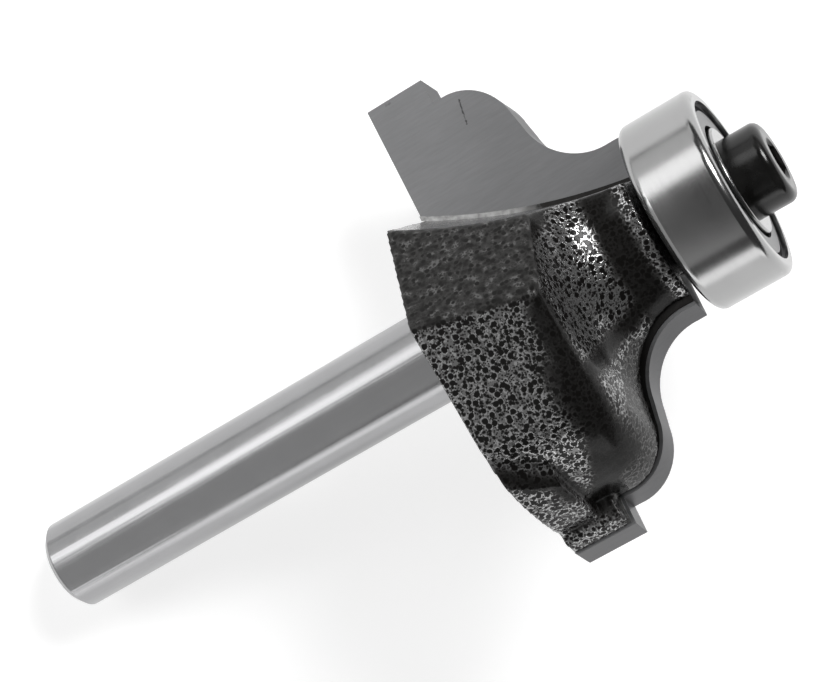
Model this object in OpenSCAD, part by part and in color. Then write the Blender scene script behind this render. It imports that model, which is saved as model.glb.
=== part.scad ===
// Two-flute ogee edge-forming router bit with a ball-bearing pilot.
// Every sub-part is drawn about the bit's own axis: +Z runs from the free end of the shank to the
// pilot bearing, +X points to the side where the first wing's cutting edge is, and the rake face of
// that wing looks towards +Y. lay() then turns the whole bit over onto the table, where it rests on
// the rim of its shank and on the back edge of one wing's flat.

/* [Shank] */
// Diameter of the shank that the collet grips
shank_d = 6; // [5:0.5:7]
// Length of the shank, from its free end to the back of the cutting head
shank_len = 32; // [26:1:44]
// Chamfer on the free end of the shank
shank_chamfer = 0.4; // [0.2:0.1:0.8]
// Radius of the fillet where the shank runs into the head
neck_fillet = 0.8; // [0.4:0.1:1.4]

/* [Cutting profile] */
// Cutting diameter over the fillet step
cutter_d = 32; // [31.4:0.2:33]
// Height of the step between the flange and the bead
step_h = 1.7; // [1.3:0.1:2]
// Width of the flange, along the axis
flange_w = 4.4; // [4:0.2:5]
// Straight run from the step to the crown of the bead
quirk_w = 0.7; // [0.5:0.1:0.9]
// Radius of the convex bead
bead_r = 3.4; // [3.2:0.1:3.6]
// Radius of the hollow cove
cove_r = 4.1; // [3.8:0.1:4.3]
// Lean of the straight stretch between bead and cove
wall_lean = 8; // [5:1:12]
// Straight run past the bottom of the cove
toe_w = 0.85; // [0.6:0.05:1.1]
// Broken corner at the back of the cutting edge
corner_break = 0.3; // [0.1:0.05:0.5]

/* [Carbide tips] */
// Thickness of a carbide tip
tip_t = 2; // [1.8:0.1:2.3]
// Roll of the rake face about the axis, from the plane square to the rest flat
rake_roll = 11.3; // [9:0.1:13]
// Distance of the rake face behind the axis
rake_offset = 0.77; // [0.5:0.01:1]
// Relief angle behind the cutting edge
relief = 17; // [14:1:19]
// Side relief of the walls that face the bearing
side_relief = 4; // [2:1:6]
// Thickness of the brazing alloy under and behind a tip
braze_t = 0.1; // [0.06:0.02:0.16]
// Size of the bead of alloy left along a tip's foot
braze_bead = 0.28; // [0.2:0.02:0.4]

/* [Head] */
// How far the steel stays inside the cutting profile
body_inset = 0.45; // [0.35:0.05:0.6]
// Depth of the steel land behind the rake face
land_depth = 3.2; // [2.8:0.1:3.8]
// Slope of the land's top behind the tip
land_relief = 30; // [25:1:35]
// Radius of the turned band behind the land
band_r = 14.6; // [14.4:0.1:14.8]
// Width of that band, along the axis
band_w = 2.75; // [2.2:0.05:3.4]
// Distance from the axis of the flat that the bit rests on
rest_flat = 12.5; // [12.2:0.1:12.8]
// Distance from the axis of the ramp that runs up to the band
ramp_flat = 13.1; // [13:0.05:13.3]
// Direction in which the ramp faces
ramp_az = 99; // [97:1:102]
// Lean of the ramp towards the bearing
ramp_lean = 20; // [16:1:24]
// Distance from the axis of the heel flat, at the back of the head
heel_flat = 10.2; // [10:0.1:10.4]
// Direction in which the heel flat faces
heel_az = 43; // [41:1:45]
// Lean of the heel flat towards the bearing
heel_lean = 9.5; // [7:0.5:12]
// Radius of the side-milling cutter that cuts the gullets
mill_r = 40; // [36:1:44]
// Distance past the back of the head at which the gullet is deepest
gullet_reach = 19.5; // [19:0.5:21]
// Distance from the axis to the gullet floor there
gullet_floor = 2.77; // [2.7:0.01:3]
// Roll of the gullet floor about the axis
gullet_roll = 2; // [0:0.5:4]

/* [Pilot bearing] */
// Outer diameter of the bearing
bearing_d = 12.7; // [12.4:0.1:13]
// Bore of the bearing
bore_d = 4.76; // [4.7:0.01:4.8]
// Width of the bearing
bearing_w = 4.98; // [4.8:0.02:5.2]
// Rounding of the outer ring's rims
rim_round = 0.55; // [0.3:0.05:0.65]
// Diameter of a ball
ball_d = 2.38; // [2.3:0.02:2.4]
// Number of balls
ball_count = 7;
// Depth of a ball groove, as a share of the ball's diameter
groove_share = 0.19; // [0.16:0.01:0.2]
// Depth of the counterbore that takes a shield
shield_seat = 0.8; // [0.7:0.05:0.85]
// Thickness of a shield's sheet metal
shield_t = 0.2; // [0.16:0.02:0.22]
// Gap between the back of the head and the bearing
bearing_gap = 0.5; // [0.4:0.05:0.7]

/* [Retaining screw] */
// Diameter of the screw's head
screw_head_d = 5.4; // [5.2:0.1:5.8]
// Height of the screw's head
screw_head_h = 2.5; // [2.2:0.1:3]
// Rounding of the head's top rim
screw_round = 0.6; // [0.3:0.1:0.7]
// Outer diameter of the thread
thread_d = 3; // [2.6:0.1:3.2]
// Length of the threaded shank under the head
screw_len = 8; // [6:0.5:10]
// Size of the hexagon socket, across its flats
hex_af = 2.5; // [2:0.1:2.6]
// Depth of the hexagon socket
hex_depth = 1.4; // [1:0.1:1.6]

/* [Fits] */
// Clearance between the arbor and the bearing's bore
arbor_clear = 0.01; // [0.005:0.005:0.03]
// Clearance between a ball and its groove
ball_clear = 0.02; // [0.01:0.005:0.03]
// Clearance between a ball and its pocket in the cage
pocket_clear = 0.06; // [0.04:0.01:0.08]
// Clearance around the thread in its tapped hole
thread_clear = 0.03; // [0.02:0.01:0.06]
// Clearance of a shield or clip in its seat
seat_clear = 0.02; // [0.01:0.01:0.04]

/* [Hidden] */
$fn = 96;
big = 80;
skin = 0.01;

// Radii of the cutting profile
flange_r = cutter_d / 2;
quirk_r = flange_r - step_h;
toe_r = bearing_d / 2 - 0.08;

// Stations along the profile, from the back of the flange
bead_s = flange_w + quirk_w;
wall_th = 90 - wall_lean;
wall_drop = quirk_r - toe_r - (bead_r + cove_r) * (1 - cos(wall_th));
cove_s = bead_s + (bead_r + cove_r) * sin(wall_th) + wall_drop * tan(wall_lean);
head_len = cove_s + toe_w;

// Stations along the axis, from the free end of the shank
bearing_z = shank_len + head_len + bearing_gap;
bearing_top = bearing_z + bearing_w;
screw_top = bearing_top + screw_head_h;

// Sizes inside the bearing
shank_r = shank_d / 2;
arbor_r = bore_d / 2 - arbor_clear;
pitch_r = (bearing_d + bore_d) / 4;
ball_r = ball_d / 2;
groove_r = 0.52 * ball_d;
inner_land_r = pitch_r - ball_r + groove_share * ball_d;
outer_land_r = pitch_r + ball_r - groove_share * ball_d;
hub_r = inner_land_r - 0.4;
seat_r = outer_land_r + 0.35;
clip_groove_r = seat_r + 0.17;
clip_wire = 0.24;
shield_lip_r = inner_land_r + 0.24;
shield_step_r = outer_land_r - 0.2;
shield_rise = 0.35;
cage_half = ball_r + 0.28;
cage_r1 = inner_land_r + 0.3;
cage_r2 = outer_land_r - 0.3;

// How the bit lies: the shank's rim and the back edge of the rest flat touch the table
tilt = atan((rest_flat - shank_r) / (shank_len - shank_chamfer));
lift = shank_r * cos(tilt) - shank_chamfer * sin(tilt);
back_x = -(shank_r - shank_chamfer) * sin(tilt);
front_x = (screw_top - screw_round) * cos(tilt) + (screw_head_d / 2 - screw_round) * sin(tilt)
          + screw_round;

// Lays the bit on the table, with the origin under the middle of its box
module lay()
    translate([-(back_x + front_x) / 2, 0, lift])
    rotate([0, -tilt, 0])
    rotate([90, 0, 90])
    children();

// Draws its children for one wing (0 or 1)
module wing(i) rotate([0, 0, 180 * i]) children();

// The half-space beyond a flat that faces direction az, at distance d from the axis at the back of
// the head and leaning towards the bearing
module beyond_flat(az, d, lean = 0)
    rotate([0, 0, az]) translate([d, 0, shank_len]) rotate([0, -lean, 0])
    translate([0, -big / 2, -big]) cube([big, big, 2 * big]);

// A slab parallel to the rake face, from depth d1 to depth d2 behind it
module behind_rake(d1, d2)
    rotate([0, 0, -rake_roll])
    translate([-big / 2, -rake_offset - d2, -big / 4])
    cube([big, d2 - d1, 2 * big]);

// Half section of a cylinder whose two rims are rounded
module rounded_bar_2d(r, h, q) {
    square([r - q, h]);
    translate([0, q]) square([r, h - 2 * q]);
    for (z = [q, h - q]) translate([r - q, z]) circle(q);
}

// Half section of the cutting profile without its flange: X is the radius and Y the station. It is
// shrunk by inset, and squeeze narrows it for a prism that leans
module profile_2d(inset, squeeze = 1) {
    quirk_x = squeeze * quirk_r - inset;
    toe_x = squeeze * toe_r - inset;
    bead_arc = bead_r - inset;
    cove_arc = cove_r + inset;
    bead_x = quirk_x - bead_arc;
    cove_x = toe_x + cove_arc;
    difference() {
        union() {
            polygon([
                [0, 0], [quirk_x, 0], [quirk_x - skin, bead_s],
                [bead_x + (bead_arc - skin) * cos(wall_th), bead_s + (bead_arc - skin) * sin(wall_th)],
                [cove_x - (cove_arc - skin) * cos(wall_th), cove_s - (cove_arc - skin) * sin(wall_th)],
                [cove_x, cove_s], [toe_x + skin, cove_s], [toe_x, head_len], [0, head_len]]);
            translate([bead_x, bead_s]) circle(bead_arc);
        }
        translate([cove_x, cove_s]) circle(cove_arc);
    }
}

// Half section of the flange, with its back corner broken
module flange_2d(inset, squeeze) {
    rim_x = squeeze * flange_r - inset;
    polygon([
        [0, 0], [rim_x - corner_break, 0], [rim_x, corner_break],
        [rim_x, flange_w - inset], [0, flange_w - inset]]);
}

// The path of the milling cutter over one gullet: its rim leaves the floor
module mill_path(grow = 0)
    rotate([0, 0, -gullet_roll])
    translate([gullet_floor + mill_r, -big / 2, shank_len + gullet_reach])
    rotate([-90, 0, 0]) cylinder(r = mill_r + grow, h = big);

// What the milling cutter takes out in front of one wing
module gullet_cut()
    intersection() {
        mill_path();
        behind_rake(-big / 2, tip_t + braze_t);
    }

// The part of the flange that is left behind one tip: a land with a sloping top
module land()
    difference() {
        intersection() {
            translate([0, 0, shank_len])
                cylinder(r = flange_r - body_inset, h = flange_w - body_inset);
            behind_rake(tip_t + braze_t, land_depth);
            translate([0, -big / 2, 0]) cube([big, big, big]);
        }
        rotate([0, 0, -rake_roll])
            translate([flange_r - body_inset - tip_t * tan(relief) / 4, -rake_offset - tip_t, 0])
            rotate([0, 0, -land_relief])
            translate([0, -big / 4, 0]) cube([big / 4, big / 2, big]);
    }

// The turned band that fills the stretch between the two ramps and the lands
module band()
    difference() {
        translate([0, 0, shank_len]) cylinder(r = band_r, h = band_w);
        for (i = [0, 1]) wing(i) beyond_flat(ramp_az, ramp_flat, ramp_lean);
    }

// The head with its two wings
module head()
    difference() {
        union() {
            translate([0, 0, shank_len]) rotate_extrude() profile_2d(body_inset);
            band();
            for (i = [0, 1]) wing(i) land();
        }
        for (i = [0, 1]) wing(i) {
            beyond_flat(90, rest_flat);
            beyond_flat(heel_az, heel_flat, heel_lean);
            gullet_cut();
        }
    }

// One-piece steel body: shank, head with two wings, and the arbor for the bearing
module cutter_body()
    color([0.2, 0.2, 0.21]) lay()
    difference() {
        union() {
            rotate_extrude() {
                polygon([
                    [0, 0], [shank_r - shank_chamfer, 0], [shank_r, shank_chamfer],
                    [shank_r, shank_len + skin], [0, shank_len + skin]]);
                neck_2d();
            }
            head();
            translate([0, 0, shank_len + head_len - skin]) cylinder(r = hub_r, h = bearing_gap + skin);
            arbor();
        }
        translate([0, 0, bearing_top - screw_len - 1]) cylinder(r = thread_d / 2 + thread_clear, h = big);
    }

// Fillet between the shank and the back of the head
module neck_2d()
    difference() {
        translate([0, shank_len - neck_fillet]) square([shank_r + neck_fillet, neck_fillet + skin]);
        translate([shank_r + neck_fillet, shank_len - neck_fillet]) circle(neck_fillet);
    }

// Arbor that carries the bearing, a little shorter than the bearing so that the screw clamps it
module arbor() {
    arbor_len = bearing_w - 0.3;
    translate([0, 0, bearing_z - skin]) cylinder(r = arbor_r, h = arbor_len + skin);
}

// Prism of the cutting profile that leans back by the relief angles
module leaning_profile(inset)
    rotate([0, 0, -rake_roll])
    translate([0, -rake_offset, shank_len])
    rotate([-side_relief, 0, -relief])
    translate([0, big / 8, 0])
    rotate([90, 0, 0])
    linear_extrude(height = big / 4) {
        profile_2d(inset, cos(relief));
        flange_2d(inset, cos(relief));
    }

// Carbide tip of one wing
module carbide_tip(i)
    color([0.56, 0.57, 0.58]) lay() wing(i)
    intersection() {
        leaning_profile(0);
        behind_rake(0, tip_t);
        mill_path(-braze_t);
        translate([0, 0, shank_len]) cylinder(r = big / 2, h = head_len);
    }

// Brazing alloy behind and under one tip, with the bead along its foot
module braze(i)
    color([0.78, 0.77, 0.72]) lay() wing(i)
    intersection() {
        leaning_profile(body_inset / 2);
        translate([0, 0, shank_len]) cylinder(r = big / 2, h = head_len);
        union() {
            intersection() {
                behind_rake(tip_t, tip_t + braze_t);
                mill_path();
            }
            foot_strip(-braze_bead, tip_t + braze_t / 2, braze_t);
            foot_strip(-braze_bead, 0, braze_bead);
        }
    }

// Strip along the gullet floor, from depth d1 to depth d2 behind the rake face and h high
module foot_strip(d1, d2, h)
    intersection() {
        behind_rake(d1, d2);
        difference() {
            mill_path();
            mill_path(-h);
        }
    }

// Socket-head screw that holds the bearing; its thread is drawn at its outer diameter
module retaining_screw()
    color([0.1, 0.1, 0.11]) lay()
    difference() {
        union() {
            translate([0, 0, bearing_top]) rotate_extrude() screw_head_2d();
            translate([0, 0, bearing_top - screw_len])
                cylinder(r = thread_d / 2, h = screw_len + skin);
        }
        translate([0, 0, screw_top - hex_depth])
            cylinder(r = hex_af / sqrt(3), h = hex_depth + 1, $fn = 6);
        translate([0, 0, screw_top - 0.2]) cylinder(r1 = hex_af / 2, r2 = hex_af / 2 + 0.35, h = 0.35);
    }

// Half section of the screw's head
module screw_head_2d() {
    head_r = screw_head_d / 2;
    square([head_r - screw_round, screw_head_h]);
    square([head_r, screw_head_h - screw_round]);
    translate([head_r - screw_round, screw_head_h - screw_round]) circle(screw_round);
}

// Moves its children to the bearing's seat
module at_bearing() translate([0, 0, bearing_z]) children();

// Mirrors its children onto the front half of the bearing when front is true
module bearing_side(front)
    translate([0, 0, front ? bearing_w : 0]) mirror([0, 0, front ? 1 : 0]) children();

// Inner ring, clamped between the hub and the screw
module bearing_inner_ring()
    color([0.72, 0.73, 0.75]) lay() at_bearing()
    difference() {
        rotate_extrude() difference() {
            rounded_bar_2d(inner_land_r, bearing_w, 0.15);
            translate([-skin, -skin]) square([bore_d / 2 + skin, bearing_w + 2 * skin]);
            translate([pitch_r - ball_r - ball_clear + groove_r, bearing_w / 2]) circle(groove_r);
        }
    }

// Outer ring, whose rounded outside rolls along the edge of the work
module bearing_outer_ring()
    color([0.75, 0.76, 0.78]) lay() at_bearing()
    rotate_extrude() difference() {
        rounded_bar_2d(bearing_d / 2, bearing_w, rim_round);
        translate([-skin, -skin]) square([outer_land_r + skin, bearing_w + 2 * skin]);
        translate([pitch_r + ball_r + ball_clear - groove_r, bearing_w / 2]) circle(groove_r);
        for (z = [0, bearing_w]) translate([0, z]) shield_seat_2d();
    }

// Half section of the counterbore and clip groove on both sides of a face
module shield_seat_2d() {
    translate([0, -shield_seat]) square([seat_r, 2 * shield_seat]);
    for (side = [-1, 1]) translate([0, side * (shield_seat - shield_t - clip_wire / 2 - seat_clear)])
        translate([0, -clip_wire / 2 - seat_clear])
        square([clip_groove_r, clip_wire + 2 * seat_clear]);
}

// Pressed shield: a flange in the counterbore and a raised middle
module shield(front)
    color([0.6, 0.61, 0.63]) lay() at_bearing() bearing_side(front)
    rotate_extrude() {
        floor_z = shield_seat - shield_t;
        translate([shield_step_r - shield_t, floor_z])
            square([seat_r - seat_clear - shield_step_r + shield_t, shield_t]);
        translate([shield_step_r - shield_t, floor_z - shield_rise])
            square([shield_t, shield_rise + shield_t]);
        translate([shield_lip_r, floor_z - shield_rise])
            square([shield_step_r - shield_lip_r, shield_t]);
    }

// Sprung wire ring that holds a shield in; it is open at one place
module clip(front)
    color([0.35, 0.35, 0.37]) lay() at_bearing() bearing_side(front)
    translate([0, 0, shield_seat - shield_t - clip_wire / 2 - seat_clear])
    difference() {
        rotate_extrude() translate([clip_groove_r - seat_clear - clip_wire, -clip_wire / 2])
            square(clip_wire);
        translate([0, -0.6, -1]) cube([big, 1.2, 2]);
    }

// Crown cage: a ring with a pocket for each ball, open towards the front
module bearing_cage()
    color([0.6, 0.5, 0.3]) lay() at_bearing()
    translate([0, 0, bearing_w / 2])
    difference() {
        rotate_extrude() translate([cage_r1, -cage_half])
            square([cage_r2 - cage_r1, cage_half + ball_r / 2]);
        for (k = [1 : ball_count]) rotate([0, 0, ball_angle(k)])
            rotate([0, 90, 0]) cylinder(r = ball_r + pocket_clear, h = big);
    }

// Direction of ball k from the axis
function ball_angle(k) = (k - 1) * 360 / ball_count;

// Ball k
module ball(k)
    color([0.85, 0.86, 0.88]) lay() at_bearing()
    rotate([0, 0, ball_angle(k)]) translate([pitch_r, 0, bearing_w / 2]) sphere(ball_r);

cutter_body();
carbide_tip(0);  // carbide_tip_1
carbide_tip(1);  // carbide_tip_2
braze(0);  // braze_1
braze(1);  // braze_2
retaining_screw();
bearing_inner_ring();
bearing_outer_ring();
bearing_cage();
ball(1);  // ball_1
ball(2);  // ball_2
ball(3);  // ball_3
ball(4);  // ball_4
ball(5);  // ball_5
ball(6);  // ball_6
ball(7);  // ball_7
shield(false);  // rear_shield
shield(true);  // front_shield
clip(false);  // rear_clip
clip(true);  // front_clip
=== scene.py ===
import math

import bmesh
import bpy
from mathutils import Matrix, Vector


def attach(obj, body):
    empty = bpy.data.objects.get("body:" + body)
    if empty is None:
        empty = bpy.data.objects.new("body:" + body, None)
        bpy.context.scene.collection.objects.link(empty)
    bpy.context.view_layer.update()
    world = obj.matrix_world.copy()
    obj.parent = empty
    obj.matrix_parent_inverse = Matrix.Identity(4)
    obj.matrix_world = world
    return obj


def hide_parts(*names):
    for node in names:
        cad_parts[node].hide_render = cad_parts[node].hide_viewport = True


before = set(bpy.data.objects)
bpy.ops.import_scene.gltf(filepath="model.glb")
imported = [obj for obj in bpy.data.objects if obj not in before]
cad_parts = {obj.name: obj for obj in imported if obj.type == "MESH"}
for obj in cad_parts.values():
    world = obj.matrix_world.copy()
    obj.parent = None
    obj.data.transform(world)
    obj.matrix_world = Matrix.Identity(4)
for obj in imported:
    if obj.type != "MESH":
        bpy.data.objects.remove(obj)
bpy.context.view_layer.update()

# How the bit lies, in metres: its axis rises from the free end of the shank towards the pilot
# bearing. A station is a distance along that axis from the shank's end.
TILT = math.radians(16.7325)
AXIS = Vector((math.cos(TILT), 0.0, math.sin(TILT)))
UP = Vector((-math.sin(TILT), 0.0, math.cos(TILT)))
SHANK_END = Vector((-0.0255956, 0.0, 0.0027578))

# Stations of the coating's edge, of the back of the head, and where the wings narrow to the neck
COAT_START = 0.0312
HEAD_START = 0.032
WINGS_END = 0.0426

# The heel flats of the wings: how far they are turned about the axis, how far they lean towards the
# bearing, and their distance from the axis at the back of the head, measured square to them
FLAT_TURN = math.radians(43.0)
FLAT_LEAN = math.radians(9.5)
FLAT_REACH = 0.01006

# Which way the upper tip's rake face looks; the lower one's looks the opposite way
RAKE_NORMAL = (-0.2823, 0.1959, 0.9391)

MM = 0.001
WHITE = (1.0, 1.0, 1.0)


# Helpers for shader nodes

def feed(tree, value, socket):
    """Sets a socket to a number, vector or colour, or links another node's output to it."""
    if isinstance(value, bpy.types.NodeSocket):
        tree.links.new(value, socket)
    elif socket.type == "RGBA":
        socket.default_value = (*value, 1.0)
    else:
        socket.default_value = value


def fill(tree, node, **values):
    """Feeds a node's inputs by name, with _ for a space."""
    for label, value in values.items():
        feed(tree, value, node.inputs[label.replace("_", " ")])
    return node


def new_group(name, inputs, outputs):
    """A shader node group with named sockets: (kind, name, default) in, (kind, name) out."""
    group = bpy.data.node_groups.new(name, "ShaderNodeTree")
    for kind, label, default in inputs:
        socket = group.interface.new_socket(name=label, in_out="INPUT", socket_type=kind)
        if default is not None:
            socket.default_value = default
    for kind, label in outputs:
        group.interface.new_socket(name=label, in_out="OUTPUT", socket_type=kind)
    return group, group.nodes.new("NodeGroupInput"), group.nodes.new("NodeGroupOutput")


def place_group(tree, group, **values):
    node = tree.nodes.new("ShaderNodeGroup")
    node.node_tree = group
    return fill(tree, node, **values)


def math_node(tree, operation, *values, clamp=False):
    node = tree.nodes.new("ShaderNodeMath")
    node.operation = operation
    node.use_clamp = clamp
    for value, socket in zip(values, node.inputs):
        feed(tree, value, socket)
    return node.outputs["Value"]


def vector_node(tree, operation, *values):
    node = tree.nodes.new("ShaderNodeVectorMath")
    node.operation = operation
    for value, socket in zip(values, node.inputs):
        feed(tree, value, socket)
    return node.outputs["Value" if operation in ("DOT_PRODUCT", "DISTANCE") else "Vector"]


def split_node(tree, place):
    """The X, Y and Z of a vector."""
    node = tree.nodes.new("ShaderNodeSeparateXYZ")
    return fill(tree, node, Vector=place).outputs


def noise_node(tree, place, scale, detail=2.0, roughness=0.5):
    node = tree.nodes.new("ShaderNodeTexNoise")
    return fill(tree, node, Vector=place, Scale=scale, Detail=detail, Roughness=roughness)


def cells(tree, place, scale, scatter):
    """Distance from the middle of the nearest cell, in shares of a cell's width."""
    node = tree.nodes.new("ShaderNodeTexVoronoi")
    return fill(tree, node, Vector=place, Scale=scale, Randomness=scatter).outputs["Distance"]


def fade_node(tree, value, start, end, smooth=False):
    """0 up to `start` and 1 from `end` on, with an even or a smooth rise between."""
    node = tree.nodes.new("ShaderNodeMapRange")
    if smooth:
        node.interpolation_type = "SMOOTHSTEP"
    return fill(tree, node, Value=value, From_Min=start, From_Max=end).outputs["Result"]


def ramp_node(tree, factor, *stops):
    """A colour ramp from (position, grey or colour) stops."""
    node = tree.nodes.new("ShaderNodeValToRGB")
    while len(node.color_ramp.elements) < len(stops):
        node.color_ramp.elements.new(0.5)
    for element, (position, shade) in zip(node.color_ramp.elements, stops):
        element.position = position
        colour = shade if isinstance(shade, tuple) else (shade, shade, shade)
        element.color = (*colour, 1.0)
    return fill(tree, node, Fac=factor).outputs["Color"]


def mix_colour(tree, factor, first, second, blend="MIX"):
    node = tree.nodes.new("ShaderNodeMix")
    node.data_type = "RGBA"
    node.blend_type = blend
    wanted = (("Factor", "VALUE", factor), ("A", "RGBA", first), ("B", "RGBA", second))
    for label, kind, value in wanted:
        socket = next(s for s in node.inputs if s.name == label and s.type == kind)
        feed(tree, value, socket)
    return next(s for s in node.outputs if s.type == "RGBA")


def bump_node(tree, height, strength, distance):
    node = tree.nodes.new("ShaderNodeBump")
    fill(tree, node, Strength=strength, Distance=distance, Height=height)
    return node.outputs["Normal"]


# Effects that several finishes share

def make_bit_space():
    """Place about the bit's own axis, with Z as the station, and the same place unrolled round it."""
    tree, _, out = new_group(
        "bit space",
        [],
        [("NodeSocketVector", "Place"), ("NodeSocketFloat", "Station"), ("NodeSocketVector", "Unrolled")])
    coords = tree.nodes.new("ShaderNodeTexCoord")
    move = tree.nodes.new("ShaderNodeMapping")
    move.vector_type = "TEXTURE"
    turn = Matrix(((0.0, 1.0, 0.0), UP, AXIS)).transposed().to_euler()
    fill(tree, move, Vector=coords.outputs["Object"], Location=SHANK_END, Rotation=turn)
    place = move.outputs["Vector"]
    across, up, station = split_node(tree, place)
    across_squared = math_node(tree, "MULTIPLY", across, across)
    up_squared = math_node(tree, "MULTIPLY", up, up)
    radius = math_node(tree, "SQRT", math_node(tree, "ADD", across_squared, up_squared))
    unrolled = tree.nodes.new("ShaderNodeCombineXYZ")
    fill(tree, unrolled, X=math_node(tree, "ARCTAN2", up, across), Y=radius, Z=station)
    fill(tree, out, Place=place, Station=station, Unrolled=unrolled.outputs["Vector"])
    return tree


def make_fine_scratches():
    """Long grinding lines: a mask from 0 to 1 that runs along whichever axis is stretched least."""
    tree, into, out = new_group(
        "fine scratches",
        [("NodeSocketVector", "Vector", None), ("NodeSocketVector", "Stretch", (1.0, 1.0, 1.0))],
        [("NodeSocketFloat", "Lines")])
    stretched = vector_node(tree, "MULTIPLY", into.outputs["Vector"], into.outputs["Stretch"])
    lines = noise_node(tree, stretched, 1.0, detail=4.0, roughness=0.65)
    fill(tree, out, Lines=lines.outputs["Fac"])
    return tree


def make_smudges():
    """Large soft patches of handling and oil, from 0 to 1."""
    tree, into, out = new_group(
        "smudges",
        [("NodeSocketVector", "Vector", None), ("NodeSocketFloat", "Size", 300.0)],
        [("NodeSocketFloat", "Patches")])
    noise = noise_node(tree, into.outputs["Vector"], into.outputs["Size"], detail=3.0)
    fill(tree, out, Patches=fade_node(tree, noise.outputs["Fac"], 0.35, 0.65))
    return tree


def make_wing_flat():
    """1 on the two matter heel flats, one on each wing, and 0 elsewhere on the body."""
    tree, into, out = new_group(
        "wing flat",
        [("NodeSocketVector", "Place", None)],
        [("NodeSocketFloat", "Flat")])
    across, up, station = split_node(tree, into.outputs["Place"])
    across = math_node(tree, "MULTIPLY", across, math.cos(FLAT_TURN) * math.cos(FLAT_LEAN))
    up = math_node(tree, "MULTIPLY", up, math.sin(FLAT_TURN) * math.cos(FLAT_LEAN))
    outward = math_node(tree, "ABSOLUTE", math_node(tree, "ADD", across, up))
    from_back = math_node(tree, "SUBTRACT", station, HEAD_START)
    along = math_node(tree, "MULTIPLY", from_back, math.sin(FLAT_LEAN))
    reach = math_node(tree, "ADD", outward, along)
    flat = fade_node(tree, reach, FLAT_REACH - 0.0004, FLAT_REACH - 0.0001, smooth=True)
    fill(tree, out, Flat=flat)
    return tree


BIT_SPACE = make_bit_space()
WING_FLAT = make_wing_flat()
FINE_SCRATCHES = make_fine_scratches()
SMUDGES = make_smudges()


# Finishes

def start_material(name):
    material = bpy.data.materials.new(name)
    material.use_nodes = True
    tree = material.node_tree
    return material, tree, tree.nodes["Principled BSDF"]


# The hammer coat: cells in a metre for each size of pit, how far noise bends them, and its tones
LARGE_PITS = 2200.0
MEDIUM_PITS = 3500.0
SMALL_PITS = 6800.0
PIT_WANDER = (0.00012, 0.00012, 0.00012)
PIT_BLACK = (0.006, 0.0056, 0.0052)
COAT_GREY = (0.048, 0.047, 0.046)
COAT_GLINT = (0.40, 0.40, 0.40)


def hammer_coat():
    """Dark baked hammer coating: round black pits of three sizes in a thin network that glints, turned
    smooth black where the coating gathered in pools and where shade is painted in.
    """
    material, tree, shader = start_material("hammer_coat")
    place = place_group(tree, BIT_SPACE).outputs["Place"]
    wander = noise_node(tree, place, 1800.0, detail=1.0)
    bent = vector_node(tree, "MULTIPLY_ADD", wander.outputs["Color"], PIT_WANDER, place)

    large = cells(tree, bent, LARGE_PITS, 0.75)
    pits = ramp_node(tree, large, (0.34, 0.0), (0.45, 1.0), (0.52, 1.0), (0.64, 0.6))
    medium = ramp_node(tree, cells(tree, bent, MEDIUM_PITS, 1.0), (0.25, 0.0), (0.42, 1.0))
    small = ramp_node(tree, cells(tree, bent, SMALL_PITS, 1.0), (0.25, 0.15), (0.46, 1.0))
    fine = math_node(tree, "MULTIPLY", medium, small)

    # The network thins out to black where the coating gathered in pools and, as painted shade, in
    # creases, hollows and dark bands; it is sparse and dusty on the heel flats
    pooled_and_shade = tree.nodes.new("ShaderNodeAttribute")
    pooled_and_shade.attribute_name = "pooled_and_shade"
    bare = math_node(tree, "MULTIPLY_ADD", pooled_and_shade.outputs["Fac"], -0.9, 1.0)
    raised = math_node(tree, "MULTIPLY", math_node(tree, "MULTIPLY", pits, fine), bare)
    sparse = ramp_node(tree, large, (0.27, 0.0), (0.38, 1.0))
    mottle = ramp_node(tree, wander.outputs["Fac"], (0.30, 0.06), (0.66, 0.52))
    dusty = math_node(tree, "MULTIPLY", mottle, math_node(tree, "MULTIPLY_ADD", fine, 0.6, 0.4))
    flat = place_group(tree, WING_FLAT, Place=place).outputs["Flat"]
    network = mix_colour(tree, flat, raised, math_node(tree, "MULTIPLY", sparse, dusty))

    fill(tree, shader,
         Base_Color=ramp_node(tree, network, (0.0, PIT_BLACK), (0.4, COAT_GREY), (1.0, COAT_GLINT)),
         Metallic=math_node(tree, "MULTIPLY", network, 0.9),
         Roughness=math_node(tree, "MULTIPLY_ADD", flat, 0.20, 0.18),
         Specular_IOR_Level=0.14,
         Normal=bump_node(tree, network, 0.35, 0.00004))
    return material


# How far grinding lines are squeezed round the axis, outward from it and along it
LINES_ROUND = (1.2, 9000.0, 15000.0)
LINES_DRAWN = (14.0, 0.0, 45.0)
LINES_PRESSED = (2.0, 12000.0, 3000.0)


def ground_steel(name, base, rough, groove, stretch=LINES_ROUND):
    """Polished steel whose fine lines run round the axis, or along it where it was drawn."""
    material, tree, shader = start_material(name)
    space = place_group(tree, BIT_SPACE)
    scratches = place_group(tree, FINE_SCRATCHES, Vector=space.outputs["Unrolled"], Stretch=stretch)
    lines = scratches.outputs["Lines"]
    patches = place_group(tree, SMUDGES, Vector=space.outputs["Place"], Size=420.0).outputs["Patches"]
    worn = math_node(tree, "MULTIPLY_ADD", patches, 0.03, rough - 0.07)
    fill(tree, shader,
         Base_Color=mix_colour(tree, patches, tuple(c * 0.95 for c in base), base),
         Metallic=1.0,
         Roughness=math_node(tree, "MULTIPLY_ADD", lines, 0.1, worn),
         Normal=bump_node(tree, lines, 0.3, groove))
    return material


# Wear on the upper tip's rake face: start and end about the bit's axis, half width, depth of tone
SCARS = (
    ((0.01317, -0.00342, 0.03770), (0.01160, -0.00310, 0.03744), 0.00007, 0.8),
    ((0.01530, -0.00384, 0.03330), (0.01529, -0.00384, 0.03362), 0.00010, 0.4),
)
SCAR_DARK = (0.035, 0.034, 0.034)


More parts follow.
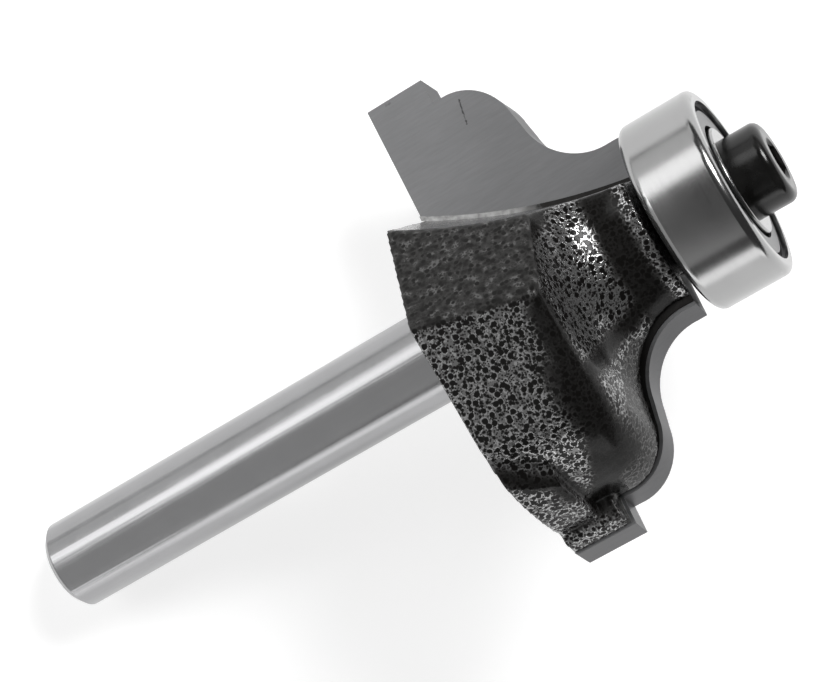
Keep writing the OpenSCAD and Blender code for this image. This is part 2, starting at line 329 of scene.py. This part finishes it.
def scar(tree, place, start, end, width, ragged):
    """1 along a short line between two points on the surface, 0 beyond `width` from it."""
    run_and_shade = Vector(end) - Vector(start)
    offset = vector_node(tree, "SUBTRACT", place, Vector(start))
    share = vector_node(tree, "DOT_PRODUCT", offset, run_and_shade / run_and_shade.length_squared)
    nearest = vector_node(tree, "MULTIPLY", math_node(tree, "ADD", share, 0.0, clamp=True), run_and_shade)
    gap = vector_node(tree, "DISTANCE", offset, nearest)
    wobble = math_node(tree, "MULTIPLY", math_node(tree, "SUBTRACT", ragged, 0.5), width * 3.0)
    return fade_node(tree, math_node(tree, "ADD", gap, wobble), width, width * 0.3)


# How far the carbide's grinding lines are squeezed across the bit, upward and along it
LINES_CARBIDE = (5000.0, 1500.0, 500.0)


def carbide_finish():
    """Ground tungsten carbide: a satin rake face with very faint lines, and flanks in a darker copy of
    its tone as painted shade.
    """
    material, tree, shader = start_material("ground_carbide")
    place = place_group(tree, BIT_SPACE).outputs["Place"]
    scratches = place_group(tree, FINE_SCRATCHES, Vector=place, Stretch=LINES_CARBIDE)
    lines = scratches.outputs["Lines"]
    patches = place_group(tree, SMUDGES, Vector=place, Size=190.0).outputs["Patches"]

    geometry = tree.nodes.new("ShaderNodeNewGeometry")
    facing = vector_node(tree, "DOT_PRODUCT", geometry.outputs["True Normal"], RAKE_NORMAL)
    on_rake = ramp_node(tree, math_node(tree, "ABSOLUTE", facing), (0.90, 0.0), (0.97, 1.0))
    rake = ramp_node(tree, lines, (0.3, (0.195, 0.196, 0.20)), (0.7, (0.225, 0.226, 0.23)))
    # Painted shade: the flanks take a darker copy of the rake face's tone
    shaded_flank = ramp_node(tree, lines, (0.3, (0.085, 0.085, 0.088)), (0.7, (0.11, 0.11, 0.113)))
    shade = mix_colour(tree, patches, (0.93, 0.93, 0.93), WHITE)
    tone = mix_colour(tree, 1.0, mix_colour(tree, on_rake, shaded_flank, rake), shade, "MULTIPLY")

    grit = noise_node(tree, place, 5200.0).outputs["Fac"]
    for start, end, width, depth in SCARS:
        worn = scar(tree, place, start, end, width, grit)
        tone = mix_colour(tree, math_node(tree, "MULTIPLY", worn, depth), tone, SCAR_DARK)
    fill(tree, shader,
         Base_Color=tone,
         Metallic=0.9,
         Roughness=math_node(tree, "MULTIPLY_ADD", lines, 0.1, 0.34),
         Normal=bump_node(tree, lines, 0.15, 0.000004))
    return material


# Between these stations the pale run of braze gives way to dark flux
FLUX_START = 0.0385
FLUX_WHOLE = 0.0405
FLUX_DARK = (0.03, 0.029, 0.028)


def braze_finish():
    """Thin run of pale brazing alloy that thins out to a dark, fluxed line towards the bearing."""
    material, tree, shader = start_material("braze_alloy")
    space = place_group(tree, BIT_SPACE)
    lumps = noise_node(tree, space.outputs["Place"], 2600.0).outputs["Fac"]
    bright = ramp_node(tree, lumps, (0.35, (0.26, 0.259, 0.257)), (0.65, (0.46, 0.459, 0.456)))
    ragged_station = math_node(tree, "MULTIPLY_ADD", lumps, 0.002, space.outputs["Station"])
    fluxed = fade_node(tree, ragged_station, FLUX_START, FLUX_WHOLE)
    fill(tree, shader,
         Base_Color=mix_colour(tree, fluxed, bright, FLUX_DARK),
         Metallic=1.0,
         Roughness=0.4,
         Normal=bump_node(tree, lumps, 0.5, 0.00004))
    return material


def black_oxide():
    """Black-oxide screw: near-black with a faint sheen and dusty patches."""
    material, tree, shader = start_material("black_oxide")
    place = place_group(tree, BIT_SPACE).outputs["Place"]
    patches = place_group(tree, SMUDGES, Vector=place, Size=900.0).outputs["Patches"]
    grain = noise_node(tree, place, 7000.0).outputs["Fac"]
    fill(tree, shader,
         Base_Color=mix_colour(tree, patches, (0.007, 0.0068, 0.0065), (0.013, 0.0127, 0.0123)),
         Roughness=math_node(tree, "MULTIPLY_ADD", patches, 0.1, 0.17),
         Specular_IOR_Level=0.35,
         Normal=bump_node(tree, grain, 0.12, 0.00001))
    return material


def pressed_sheet(name, base, rough):
    """Pressed sheet steel with a soft satin grain."""
    material, tree, shader = start_material(name)
    space = place_group(tree, BIT_SPACE)
    scratches = place_group(tree, FINE_SCRATCHES, Vector=space.outputs["Unrolled"], Stretch=LINES_PRESSED)
    lines = scratches.outputs["Lines"]
    fill(tree, shader,
         Base_Color=ramp_node(tree, lines, (0.3, tuple(c * 0.85 for c in base)), (0.7, base)),
         Metallic=1.0,
         Roughness=math_node(tree, "MULTIPLY_ADD", lines, 0.15, rough),
         Normal=bump_node(tree, lines, 0.2, 0.000006))
    return material


HAMMER_COAT = hammer_coat()
SHANK_STEEL = ground_steel("shank_steel", (0.35, 0.35, 0.355), 0.22, 0.00003, LINES_DRAWN)
RING_STEEL = ground_steel("ring_steel", (0.38, 0.38, 0.38), 0.20, 0.000003)
BALL_STEEL = ground_steel("ball_steel", (0.62, 0.62, 0.62), 0.10, 0.000001)
CARBIDE = carbide_finish()
BRAZE = braze_finish()
BLACK_OXIDE = black_oxide()
SHIELD_STEEL = pressed_sheet("shield_steel", (0.20, 0.20, 0.203), 0.28)
CAGE_STEEL = pressed_sheet("cage_steel", (0.50, 0.50, 0.51), 0.35)
SPRING_WIRE = pressed_sheet("spring_wire", (0.16, 0.16, 0.165), 0.4)

NODE_FINISH = {
    "cutter_body": HAMMER_COAT,
    "carbide_tip_1": CARBIDE, "carbide_tip_2": CARBIDE,
    "braze_1": BRAZE, "braze_2": BRAZE,
    "retaining_screw": BLACK_OXIDE,
    "bearing_inner_ring": RING_STEEL, "bearing_outer_ring": RING_STEEL,
    "bearing_cage": CAGE_STEEL,
    "rear_shield": SHIELD_STEEL, "front_shield": SHIELD_STEEL,
    "rear_clip": SPRING_WIRE, "front_clip": SPRING_WIRE,
}
for number in range(1, 8):
    NODE_FINISH[f"ball_{number}"] = BALL_STEEL

for name, finish in NODE_FINISH.items():
    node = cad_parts[name]
    if not node.material_slots:
        node.data.materials.append(finish)
    for place in node.material_slots:
        place.link = "OBJECT"
        place.material = finish


# The steel body in two pieces: the head with soft, coated edges, and the bare shank

# The head runs a little way over the shank, so that no gap shows between them
HEAD_OVERLAP = 0.0001
# Extra loops keep the shank's highlight straight up to the chamfer on its end
SHANK_LOOPS = (0.00045, 0.0006, 0.016)


def cut_of_body(name, keep_head):
    """Copy of the steel body on one side of the plane where the coating starts."""
    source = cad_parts["cutter_body"]
    work = bmesh.new()
    work.from_mesh(source.data)
    bmesh.ops.remove_doubles(work, verts=work.verts, dist=1e-7)

    def slice_at(station, **clear):
        return bmesh.ops.bisect_plane(work, geom=work.verts[:] + work.edges[:] + work.faces[:], dist=1e-8,
                                      plane_co=SHANK_END + AXIS * station, plane_no=AXIS, **clear)

    if keep_head:
        cut = slice_at(COAT_START - HEAD_OVERLAP, clear_inner=True)
        edges = [e for e in cut["geom_cut"] if isinstance(e, bmesh.types.BMEdge)]
        bmesh.ops.holes_fill(work, edges=edges)
    else:
        slice_at(COAT_START, clear_outer=True)
        for station in SHANK_LOOPS:
            slice_at(station)
    mesh = bpy.data.meshes.new(name)
    work.to_mesh(mesh)
    work.free()
    piece = bpy.data.objects.new(name, mesh)
    bpy.context.scene.collection.objects.link(piece)
    return piece


def apply_modifiers(piece):
    graph = bpy.context.evaluated_depsgraph_get()
    mesh = bpy.data.meshes.new_from_object(piece.evaluated_get(graph))
    piece.modifiers.clear()
    piece.data = mesh


def ease(value, start, end):
    """0 up to `start`, 1 from `end` on, and even between; `end` may be the smaller of the two."""
    return min(1.0, max(0.0, (value - start) / (end - start)))


def band(value, start, full, fading, end):
    """1 from `full` to `fading`, and 0 before `start` and after `end`."""
    return ease(value, start, full) * ease(value, end, fading)


# Between these stations, just short of the bearing, nine tenths of the smoothing fade out
TOE_START = 0.0442
TOE_WHOLE = 0.0449
TOE_KEPT = 0.9


def soften(piece, voxel, rounds):
    """Rebuilds the piece as an even skin, so that the thick coating rounds its corners.

    `voxel` is the size of the skin's mesh in millimetres.
    """
    piece.data.transform(Matrix.Scale(1.0 / MM, 4))
    skin = piece.modifiers.new("skin", "REMESH")
    skin.mode = "VOXEL"
    skin.voxel_size = voxel
    apply_modifiers(piece)
    piece.data.transform(Matrix.Scale(MM, 4))
    free = piece.vertex_groups.new(name="free")
    for vertex in piece.data.vertices:
        held = TOE_KEPT * ease((vertex.co - SHANK_END).dot(AXIS), TOE_START, TOE_WHOLE)
        free.add([vertex.index], 1.0 - held, "REPLACE")
    smooth = piece.modifiers.new("smooth", "SMOOTH")
    smooth.factor = 0.5
    smooth.iterations = rounds
    smooth.vertex_group = "free"
    apply_modifiers(piece)
    piece.data.polygons.foreach_set("use_smooth", [True] * len(piece.data.polygons))


def levelled(mesh, rounds):
    """The mesh's points after many rounds of levelling."""
    piece = bpy.data.objects.new("levelled", mesh.copy())
    bpy.context.scene.collection.objects.link(piece)
    level = piece.modifiers.new("level", "SMOOTH")
    level.factor = 0.5
    level.iterations = rounds
    apply_modifiers(piece)
    points = [vertex.co.copy() for vertex in piece.data.vertices]
    bpy.data.objects.remove(piece)
    return points


# Rounds of levelling that find narrow creases and wide hollows, and how far under the levelled skin a
# place lies where the coating starts to pool and the painted shade starts, and where both are full
NEAR_ROUNDS = 105
CREASE = (0.00003, 0.00014)
WIDE_ROUNDS = 595
HOLLOW = (0.00005, 0.00030)
# On the wings a hollow counts for half, up to this far short of their end; on the neck it counts
# in full, from this far past it
WING_SHARE = 0.5
WING_FADE = 0.0012
NECK_FADE = 0.0004
# The neck gathers coating and painted shade between these stations wherever it is close to the axis, and
# the shoulder does so between its own stations and these degrees of every half turn
NECK = (0.0425, 0.0431, 0.0445, 0.0450)
NECK_RADIUS = (0.0075, 0.0068)
SHOULDER = (0.0370, 0.0381, 0.0391, 0.0399)
SHOULDER_TURN = (100.0, 108.0, 143.0, 150.0)
# Dark lines on one wing where the coating ran together and where shade is painted in: points about the
# bit's axis and half width, both in millimetres, and how wet and shaded it is there
RUNS_AND_SHADE = (
    (((4.3, 7.2, 40.6), (3.4, 9.4, 39.7), (1.6, 11.4, 39.5), (-0.7, 12.5, 39.5)), 0.45, 1.0),
    (((-0.7, 12.5, 39.5), (-2.5, 12.5, 39.3), (-4.0, 12.3, 39.2), (-5.9, 11.6, 39.1)), 0.65, 1.0),
    (((-5.9, 11.6, 39.1), (-8.4, 10.6, 38.5), (-10.6, 8.8, 37.4)), 0.95, 1.0),
    (((-10.6, 8.8, 37.4), (-12.2, 6.5, 35.2)), 0.70, 1.0),
    (((-3.2, 5.1, 43.5), (-4.0, 5.5, 41.9), (-4.6, 7.7, 40.4), (-5.0, 11.1, 39.8)), 0.40, 1.0),
    (((-7.9, 11.9, 32.3), (-9.0, 11.3, 33.4), (-9.8, 10.8, 34.6), (-11.0, 9.6, 34.7)), 0.30, 1.0),
    (((-6.7, 4.7, 40.8), (-9.2, 7.3, 39.9), (-11.5, 7.1, 38.5), (-12.4, 6.0, 36.7)), 1.60, 0.55),
)
# Each line is full up to this far inside its half width, and ends this far outside it
RUN_AND_SHADE_INSIDE = 0.0001
RUN_AND_SHADE_OUTSIDE = 0.0006


def run_and_shade_pieces():
    """The lines of coating and painted shade as straight pieces in metres, on both wings."""
    pieces = []
    for points, half, share in RUNS_AND_SHADE:
        for side in (1.0, -1.0):
            line = [Vector((x * side, y * side, z)) * MM for x, y, z in points]
            for start, end in zip(line, line[1:]):
                reach = end - start
                pieces.append((start, reach, 1.0 / reach.length_squared, half * MM, share))
    return pieces


def run_and_shade_share(spot, pieces):
    """How wet and shaded a spot about the bit's axis is from the nearest line, 0 to 1."""
    most = 0.0
    for start, reach, scale, half, share in pieces:
        part = min(1.0, max(0.0, (spot - start).dot(reach) * scale))
        gap = (spot - start - reach * part).length
        most = max(most, share * ease(gap, half + RUN_AND_SHADE_OUTSIDE, half - RUN_AND_SHADE_INSIDE))
    return most


def mark_pooled_and_shade(piece):
    """Stores on each vertex how far the wet coating gathered there and how much shade is painted there: 1
    in the hollows, 0 on the ridges.
    """
    near = levelled(piece.data, NEAR_ROUNDS)
    wide = levelled(piece.data, WIDE_ROUNDS)
    pieces = run_and_shade_pieces()
    values = []
    for vertex, close, far in zip(piece.data.vertices, near, wide):
        station = (vertex.co - SHANK_END).dot(AXIS)
        spoke = vertex.co - SHANK_END - AXIS * station
        turned = math.degrees(math.atan2(spoke.dot(UP), spoke.y)) % 180.0
        crease = ease((close - vertex.co).dot(vertex.normal), *CREASE)
        hollow = ease((far - vertex.co).dot(vertex.normal), *HOLLOW)
        on_wing = WING_SHARE * ease(station, WINGS_END, WINGS_END - WING_FADE)
        on_neck = ease(station, WINGS_END, WINGS_END + NECK_FADE)
        hollow *= on_wing + on_neck
        neck = band(station, *NECK) * ease(spoke.length, *NECK_RADIUS)
        shoulder = band(station, *SHOULDER) * band(turned, *SHOULDER_TURN)
        run_and_shade = run_and_shade_share(Vector((spoke.y, spoke.dot(UP), station)), pieces)
        # Painted shade: this mark is partly pools of coating, and it blackens the coat in creases,
        # hollows and dark bands
        values.append(max(crease, hollow, neck, shoulder, run_and_shade))
    pooled_and_shade = piece.data.attributes.new("pooled_and_shade", "FLOAT", "POINT")
    pooled_and_shade.data.foreach_set("value", values)


coated_head = cut_of_body("coated_head", keep_head=True)
soften(coated_head, voxel=0.16, rounds=8)
mark_pooled_and_shade(coated_head)
coated_head.data.materials.clear()
coated_head.data.materials.append(HAMMER_COAT)
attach(coated_head, "bit")
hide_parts("cutter_body")

bare_shank = cut_of_body("bare_shank", keep_head=False)
bare_shank.data.set_sharp_from_angle(angle=math.radians(25.0))
bare_shank.data.materials.clear()
bare_shank.data.materials.append(SHANK_STEEL)
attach(bare_shank, "bit")
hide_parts("cutter_body")


# Floor, light and camera

FLOOR_HALF = 1.5
FLOOR_BASE = (0.50, 0.50, 0.50)
FLOOR_GLOW = 0.74
WORLD_GLOW = 0.06
LAMP_AIM = (0.004, 0.0, 0.012)


def make_floor():
    """Table whose own glow makes it white to the camera and in reflections, and that takes shadows."""
    mesh = bpy.data.meshes.new("floor")
    sides = ((-1, -1), (1, -1), (1, 1), (-1, 1))
    mesh.from_pydata([(x * FLOOR_HALF, y * FLOOR_HALF, 0.0) for x, y in sides], [], [(0, 1, 2, 3)])
    floor = bpy.data.objects.new("floor", mesh)
    bpy.context.scene.collection.objects.link(floor)
    material, tree, shader = start_material("white_table")
    path = tree.nodes.new("ShaderNodeLightPath")
    seen = math_node(tree, "MAXIMUM", path.outputs["Is Camera Ray"], path.outputs["Is Glossy Ray"])
    seen = math_node(tree, "MAXIMUM", seen, path.outputs["Is Transmission Ray"])
    fill(tree, shader,
         Base_Color=FLOOR_BASE,
         Roughness=0.9,
         Specular_IOR_Level=0.0,
         Emission_Color=WHITE,
         Emission_Strength=math_node(tree, "MULTIPLY", seen, FLOOR_GLOW))
    mesh.materials.append(material)


def soft_lamp(name, place, size, glow, aim=LAMP_AIM):
    """A flat studio lamp of an even brightness that faces `aim`."""
    data = bpy.data.lights.new(name, "AREA")
    data.shape = "RECTANGLE"
    data.size, data.size_y = size
    data.energy = glow * math.pi * size[0] * size[1]
    lamp = bpy.data.objects.new(name, data)
    lamp.location = place
    lamp.rotation_euler = (Vector(aim) - Vector(place)).to_track_quat("-Z", "Y").to_euler()
    bpy.context.scene.collection.objects.link(lamp)


make_floor()
soft_lamp("main_softbox", (-0.32, 0.45, 0.44), (0.56, 0.26), 2.3)
soft_lamp("small_softbox", (0.424, 0.266, 0.507), (0.27, 0.25), 20.0)
soft_lamp("dim_panel", (-0.53, -0.25, 0.45), (1.50, 0.58), 0.50, aim=(0.0, -0.25, 0.0))
soft_lamp("back_board", (-0.27, 0.83, 0.228), (1.20, 0.34), 0.85)
soft_lamp("front_board", (-0.22, -0.86, 0.115), (1.20, 0.22), 1.90)

world = bpy.data.worlds.new("studio")
world.use_nodes = True
fill(world.node_tree, world.node_tree.nodes["Background"], Color=WHITE, Strength=WORLD_GLOW)
bpy.context.scene.world = world

camera_data = bpy.data.cameras.new("camera")
camera_data.lens = 109.1
camera_data.sensor_width = 36.0
camera_data.clip_start = 0.005
camera = bpy.data.objects.new("camera", camera_data)
camera.location = (0.00128, 0.00157, 0.16696)
camera.rotation_euler = (0.0, 0.0, math.radians(-30.12))
bpy.context.scene.collection.objects.link(camera)
bpy.context.scene.camera = camera
bpy.context.scene.view_settings.view_transform = "Standard"
